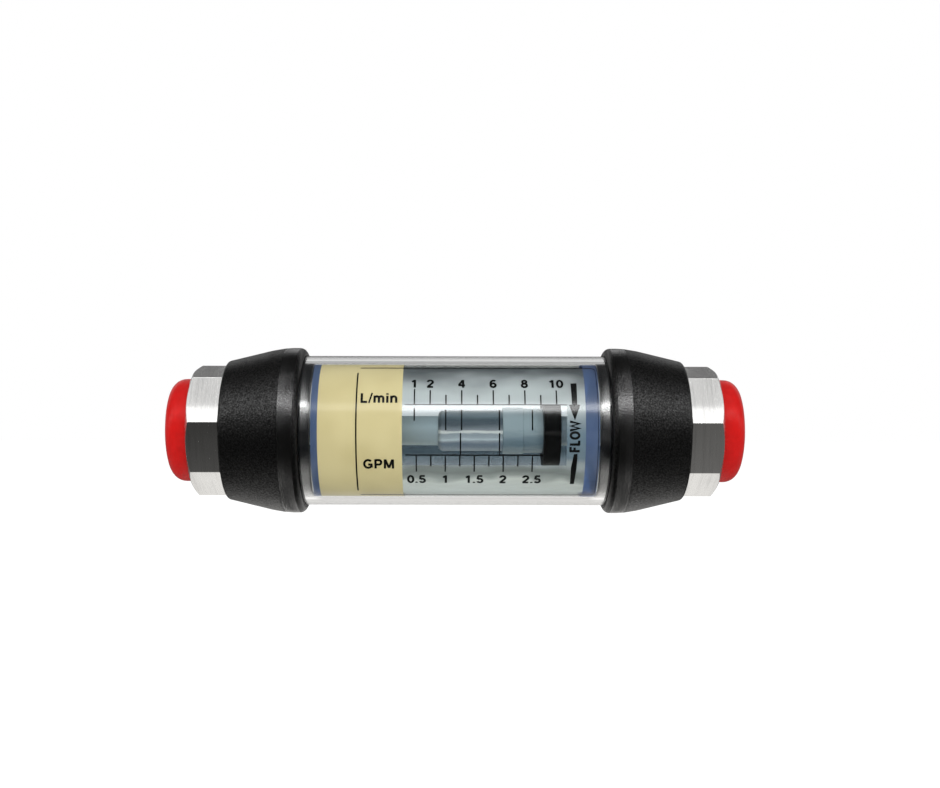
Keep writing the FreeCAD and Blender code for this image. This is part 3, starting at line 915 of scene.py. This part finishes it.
def add_text(work, words, height, x, y, turn=0.0, wide=1.0):
    """Words with their middle at a place, their capitals this high."""
    span = sum(letters[c][0] for c in words) + letter_space * (len(words) - 1)
    start = -span / 2
    for c in words:
        width, strokes = letters[c]
        for stroke in strokes:
            path = []
            for across, up in stroke:
                a = (start + across) * height * wide
                b = (up - 0.5) * height
                path.append((
                    x + a * math.cos(turn) - b * math.sin(turn),
                    y + a * math.sin(turn) + b * math.cos(turn),
                ))
            loop = len(path) > 8 and (Vector(path[0]) - Vector(path[-1])).length < 1e-9
            thin = 0.7 if c == "/" else 1.0
            add_ribbon(work, path[:-1] if loop else path, letter_stroke * thin * height, loop)
        start += width + letter_space


def upper_scale():
    """Litres a minute: axis line, ticks and numbers above the window."""
    work = bmesh.new()
    base = 7.92 * mm
    ten = 31.47 * mm
    step = 9.8 * mm
    add_bar(work, -15.5 * mm, 34.7 * mm, base - 0.14 * mm, base + 0.16 * mm)
    add_tick(work, -12.61 * mm, base, 13.3 * mm)
    for i in range(9):
        x = ten - step * (8 - i) / 2
        add_tick(work, x, base, 12.85 * mm if i % 2 == 0 else 11.2 * mm)
        if i % 2 == 0:
            add_text(work, str(i + 2), numeral_height, x, numeral_rise)
    add_text(work, "1", numeral_height, -12.75 * mm, numeral_rise)
    printed("upper_scale", work)


def lower_scale():
    """Gallons a minute: axis line, ticks and numbers below the window."""
    work = bmesh.new()
    base = -7.48 * mm
    step = 9.0 * mm
    first = -12.0 * mm
    half = line_width / 2
    add_bar(work, -15.3 * mm, 27.9 * mm, base - half, base + half)
    for i in range(9):
        x = first + step * i / 2
        add_tick(work, x, -13.1 * mm if i % 2 == 0 else -11.2 * mm, base)
        if i % 2 == 0:
            add_text(work, f"{0.5 + i / 4:g}", numeral_height, x, numeral_drop)
    printed("lower_scale", work)


def window_marks():
    """Fine marks printed in the clear window."""
    work = bmesh.new()
    for x in (-2.87 * mm, 2.02 * mm, 13.7 * mm, 23.9 * mm):
        add_tick(work, x, 0.1 * mm, 6.3 * mm)
    add_tick(work, -12.6 * mm, 2.9 * mm, 6.8 * mm)
    for x in (1.7 * mm, 13.75 * mm):
        add_tick(work, x, -7.4 * mm, -0.7 * mm)
    printed("window_marks", work)


def unit_marks():
    """The two units on the panel, and the upright line beside them."""
    work = bmesh.new()
    add_text(work, "L/min", 3.2 * mm, -23.6 * mm, 10.1 * mm)
    add_text(work, "GPM", numeral_height, -23.65 * mm, -10.45 * mm)
    add_tick(work, -30.6 * mm, -21.5 * mm, 20.1 * mm, 0.48 * mm)
    printed("unit_marks", work)


def frame_line():
    """Line round the scale's top, right end and bottom, thin at its right end."""
    work = bmesh.new()
    half = 0.25 * mm
    thin = 0.09 * mm
    left = -30.0 * mm
    right = 44.25 * mm
    corner = 1.6 * mm
    for y, sign in ((frame_top, 1), (frame_bottom, -1)):
        add_bar(work, left, right - corner, y - half, y + half)
        x = right - corner
        away = y - sign * corner
        inner = []
        outer = []
        for i in range(7):
            angle = math.pi / 2 * i / 6
            across = half + (thin - half) * i / 6
            for points, radius in ((inner, corner - across), (outer, corner + across)):
                points.append((
                    x + radius * math.sin(angle), away + sign * radius * math.cos(angle)
                ))
        add_shape(work, inner + outer[::-1])
    add_tick(work, right, frame_bottom + corner, frame_top - corner, 2 * thin)
    printed("frame_line", work)


def flow_legend():
    """Flow arrow and its word, in line with each other."""
    work = bmesh.new()
    middle = 37.0 * mm

    def add_part(*corners):
        add_shape(work, [(middle + x * mm, y * mm) for x, y in corners])

    add_part((-0.95, 15.5), (0.95, 15.6), (0.8, 8.0), (-0.8, 8.0))
    add_part((-1.8, 8.0), (1.8, 8.0), (0, 3.1))
    add_text(work, "FLOW", numeral_height, middle, -1.8 * mm, turn=math.pi / 2, wide=0.74)
    add_part(
        (-0.2, -7.1), (0.9, -7.0), (0.8, -11.5), (0.35, -18.0), (-0.9, -18.0), (-0.95, -11.5)
    )
    printed("flow_legend", work)


def casing():
    """Metal tube along the axis, seen behind the window."""
    low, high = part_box("casing_tube")
    points = outline(
        (low.x, casing_bore), (high.x, casing_bore), (high.x, 2 * high.z), (low.x, 2 * high.z)
    )
    obj = turned("casing", points)
    dress(obj, casing_metal, "casing_steel", "root", "casing_tube")


def indicator():
    """Barrel with its rounded shoulder, stepped collar and the black index."""
    hole = 2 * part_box("indicator_sleeve")[1].z + follower_play
    low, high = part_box("magnet_barrel")
    magnet_low, magnet_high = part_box("indicator_magnet")
    bore = 2 * magnet_high.z + follower_play
    barrel = turned("barrel", outline(
        (low.x, hole), (magnet_low.x, hole), (magnet_low.x, bore), (magnet_high.x, bore),
        (magnet_high.x, hole), (high.x, hole), (high.x, 2 * high.z, 0.12 * mm),
        (low.x, 2 * high.z, 1.6 * mm), steps=8,
    ), sharp=35)
    dress(barrel, barrel_metal, "barrel_steel", "indicator", "magnet_barrel")
    low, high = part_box("indicator_collar")
    collar = turned("collar", outline(
        (low.x, hole), (high.x, hole), (high.x, collar_diameter),
        (low.x + collar_step, collar_diameter), (low.x + collar_step, 2 * high.z, 0.15 * mm),
        (low.x, 2 * high.z, 0.15 * mm), steps=3,
    ))
    dress(collar, pale_collar, "sleeve_plastic", "indicator", "indicator_collar")
    low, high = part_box("index_ring")
    index = turned("index", outline(
        (low.x, hole), (high.x, hole), (high.x, 2 * high.z, 0.3 * mm),
        (low.x, 2 * high.z, 0.3 * mm), steps=3,
    ))
    dress(index, index_black, "index_black", "indicator", "index_ring")


def plug(side_name, side):
    """Rounded red cap with a grip step behind its head."""
    start, end, head = reach_of(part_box(side_name + "_port_plug"))
    cavity = plug_skirt - 2 * plug_wall
    inside = end - plug_face
    seat = face_x + plug_gap
    points = outline(
        (start, cavity, 0.3 * mm), (inside, cavity, 1.2 * mm), (inside, 0), (end, 0),
        (end - plug_crown / 4, head / 3), (end - plug_crown, head, 4.4 * mm),
        (seat, head, 0.35 * mm), (seat, plug_skirt), (start, plug_skirt, 0.4 * mm), steps=8,
    )
    obj = turned(side_name + "_plug", points, side, 40)
    dress(obj, red_plastic, "plug_red", side_name + "_plug", side_name + "_port_plug")


def paint_nodes():
    """Procedural materials for the CAD pieces that stay."""
    finishes = {
        seal: ("casing_seal", "window_seal"),
        steel: ("spider", "snap_ring", "cone_nut", "metering_cone", "spring_seat",
                "orifice_disc", "orifice_clip", "magnet_retainer", "return_spring"),
        brass: ("piston_carrier",),
        sintered: ("transfer_magnet", "indicator_magnet"),
        pale_collar: ("indicator_sleeve",),
    }
    for material, names in finishes.items():
        for name in names:
            for full in (name, "left_" + name, "right_" + name):
                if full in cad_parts:
                    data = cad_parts[full].data
                    data.materials.clear()
                    data.materials.append(material)


def background_share(s):
    """1 for what is seen straight or through clear pieces, 0 for light and reflections."""
    path = s.node("LightPath").outputs
    straight = s.calc("LESS_THAN", path["Glossy Depth"], 0.5)
    through = s.product(path["Is Transmission Ray"], straight)
    return s.calc("MAXIMUM", path["Is Camera Ray"], through)


def pale_floor():
    """White where it is seen straight, but for the shadow, with cards that reflections show."""
    s = Shader("pale_floor")
    y = s.axis("Y")
    across = s.calc("ABSOLUTE", s.axis("X"))

    # Levels from the front of the floor to its back, in millimetres from the axis
    back = ((58, 0.75), (74, 0.6), (112, 0.7), (128, 0.95), (175, 0.95), (235, 0.7), (400, 0.5))
    middle = s.level_ramp(
        y, (-400, 0.02), (-61, 0.03), (-45, 0.05), (-20, 0.05), (0, 0.12), (15, 0.4),
        (30, 0.7), *back,
    )
    ends = s.level_ramp(
        y, (-400, 0.04), (-120, 0.045), (-81, 0.12), (-61, 0.35), (-47, 0.75), (-35, 1.1),
        (-12, 1.15), (0, 1.3), (14, 1.7), (40, 1.7), *back,
    )
    fittings = s.level_ramp(
        y, (-400, 0.03), (-120, 0.045), (-81, 0.085), (-61, 0.17), (-45, 0.35), (-20, 0.6),
        (0, 0.85), (40, 0.85), *back,
    )

    # Shares along the meter: dimmer under the rings, dimmest under the lands and far out
    share = s.level_ramp(
        across, (50, 0.6), (56.5, 0.6), (58, 0.14), (64, 0.14), (68, 1.0), (73, 1.0)
    )
    ends = s.product(ends, s.blend(s.above(y, 58), share, 1.0))
    level = s.blend(s.spread(across, 0.0, 1.0, 49.0, 51.5), middle, ends)
    level = s.blend(s.above(across, 73.0), level, fittings)
    far_out = s.level_ramp(across, (96, 1.0), (99, 0.3))
    level = s.product(level, s.blend(s.above(y, -45), 1.0, far_out))
    front_right = s.calc("SUBTRACT", s.above(s.axis("X"), 75), s.above(y, -60))
    extra = s.calc("MULTIPLY", front_right, 0.07, use_clamp=True)

    # The floor glows at this level only in reflections, as cards of light for the meter.
    cards = s.plain("Emission", (1, 0.985, 0.96), Strength=s.sum(level, extra))
    matt = s.plain("BsdfDiffuse", (0.9, 0.9, 0.89))
    reflected = s.above(s.node("LightPath").outputs["Glossy Depth"], 0.5)
    white = s.plain("Emission", Strength=0.86)
    shade = s.plain("BsdfDiffuse", (0.3, 0.3, 0.3))
    shown = s.node("AddShader", {0: white, 1: shade}).outputs["Shader"]
    return s.finish(s.mix(background_share(s), s.mix(reflected, matt, cards), shown))


def floor():
    """A wide level floor below the meter."""
    half = 6.0
    corners = [(-half, -half, 0), (half, -half, 0), (half, half, 0), (-half, half, 0)]
    mesh = bpy.data.meshes.new("floor")
    mesh.from_pydata(corners, [], [(0, 1, 2, 3)])
    mesh.materials.append(pale_floor())
    obj = new_object("floor", mesh)
    obj.location.z = cad_low.z - 35 * mm


def lamp(name, width, height, turn, distance, strength):
    """A soft rectangular lamp aimed at the meter, this many degrees round it from the front."""
    data = bpy.data.lights.new(name, "AREA")
    data.shape = "RECTANGLE"
    data.size = width
    data.size_y = height
    data.energy = strength * width * height * math.pi
    obj = new_object(name, data)
    angle = math.radians(turn)
    direction = Vector((0, -math.cos(angle), math.sin(angle)))
    obj.location = direction * distance
    obj.rotation_euler = direction.to_track_quat("Z", "Y").to_euler()
    obj.visible_glossy = False
    obj.visible_transmission = False


def studio():
    """The light of a plain white studio, as reflections see it and as dull surfaces gather it."""
    s = Shader("studio", world=True)
    bpy.context.scene.world = s.owner
    s.owner.cycles.sampling_method = "NONE"
    way = s.node("SeparateXYZ", {0: s.node("TexCoord").outputs["Generated"]}).outputs
    across = s.calc("ABSOLUTE", way["X"])

    # The turn round the meter's axis in degrees, from 0 at the front through 90 overhead
    turn = s.calc("ARCTAN2", way["Z"], s.product(way["Y"], -1.0))
    turn = s.product(turn, 180 / math.pi)

    # Levels that the scale's middle, the rings, the bumpers' lands and the wrench flats reflect
    wall = (
        (128, 0.03), (133, 0.1), (136, 0.45), (138, 0.5), (140.5, 0.42), (142.5, 0.42),
        (145, 0.8), (153, 0.8), (157, 0.6), (160, 0.3), (162, 0.04), (166, 0.04), (170, 0.3),
        (174, 0.6), (180, 0.9),
    )
    middle = s.level_ramp(
        turn, (-10, 0.0), (10, 0.01), (20, 0.03), (26, 0.15), (30, 1.0), (33, 3.6), (40, 3.6),
        (43.5, 1.8), (46, 0.9), (50, 0.4), (58, 0.2), (68, 0.08), (76, 0.03), *wall,
    )
    rings = s.level_ramp(
        turn, (-10, 0.05), (0, 0.12), (12, 0.3), (22, 0.65), (30, 0.9), (36, 1.6), (39, 5.4),
        (44, 5.6), (48, 2.2), (52, 1.6), (58, 1.3), (68, 0.7), (79, 0.35), (90, 0.12),
        (112, 0.06), *wall,
    )
    lands = s.level_ramp(
        turn, (-10, 0.0), (0, 0.02), (8, 0.15), (16, 0.7), (25, 3.4), (32, 14.0), (38, 18.0),
        (46, 11.0), (52, 4.5), (59, 1.6), (68, 0.3), (79, 0.05), (90, 0.02), (112, 0.02), *wall,
    )
    edge = 59.32
    before = s.level_ramp(
        turn, (-10, 0.0), (10, 0.05), (22, 0.2), (30, 1.8), (40, 1.8), (42, 1.45), (edge, 1.45)
    )
    behind = s.level_ramp(
        turn, (edge, 0.55), (61, 0.55), (66, 3.6), (80, 3.6), (86, 0.3), (110, 0.06),
        (160, 0.05), (168, 0.1), (180, 0.25),
    )
    flats = s.blend(s.above(turn, edge), before, behind)

    # The streak is weak over the panel, and the four zones follow each other along the meter
    share = s.level_ramp(way["X"], (-0.12, 0.25), (-0.047, 0.25), (-0.043, 1.0))
    middle = s.product(middle, s.blend(s.above(turn, 76), share, 1.0))
    level = s.blend(s.spread(across, 0.0, 1.0, 0.1215, 0.1245), middle, rings)
    level = s.blend(s.spread(across, 0.0, 1.0, 0.1325, 0.1355), level, lands)
    level = s.blend(s.spread(across, 0.0, 1.0, 0.155, 0.165), level, rings)
    level = s.blend(s.calc("COMPARE", across, 0.205, 0.02), level, flats)
    plain_level = 0.66
    level = s.blend(s.node("LightPath").outputs["Is Diffuse Ray"], level, plain_level)

    light = s.plain("Background", Strength=level)
    white = s.plain("Background", Strength=1.0)
    s.finish(s.mix(background_share(s), light, white))


def camera():
    """Level camera on the meter's axis, aimed and shifted as in the photograph."""
    data = bpy.data.cameras.new("camera")
    data.sensor_width = sensor_width
    data.lens = sensor_width * camera_distance / (photo_width * px)
    data.shift_x = (photo_width / 2 - meter_across) / photo_width
    data.shift_y = (meter_down - photo_height / 2) / photo_width
    data.clip_start = 0.01
    data.clip_end = 20
    obj = new_object("camera", data)
    obj.location = (0, -camera_distance, 0)
    obj.rotation_euler = (math.pi / 2, camera_roll, 0)
    bpy.context.scene.camera = obj


camera()
for side_name, side in (("left", -1), ("right", 1)):
    fitting(side_name, side)
    port_thread(side_name, side)
    bumper(side_name, side)
    centring_ring(side_name, side)
    plug(side_name, side)
guard()
support()
film()
upper_scale()
lower_scale()
window_marks()
unit_marks()
frame_line()
flow_legend()
casing()
indicator()
paint_nodes()
floor()
lamp("key", 1.5, 0.4, turn=32, distance=0.9, strength=2.5)
lamp("back_soft", 1.2, 0.4, turn=118, distance=0.9, strength=1.2)
studio()

scene = bpy.context.scene
scene.view_settings.view_transform = "Standard"
scene.cycles.max_bounces = 20
scene.cycles.transmission_bounces = 20
scene.cycles.transparent_max_bounces = 24
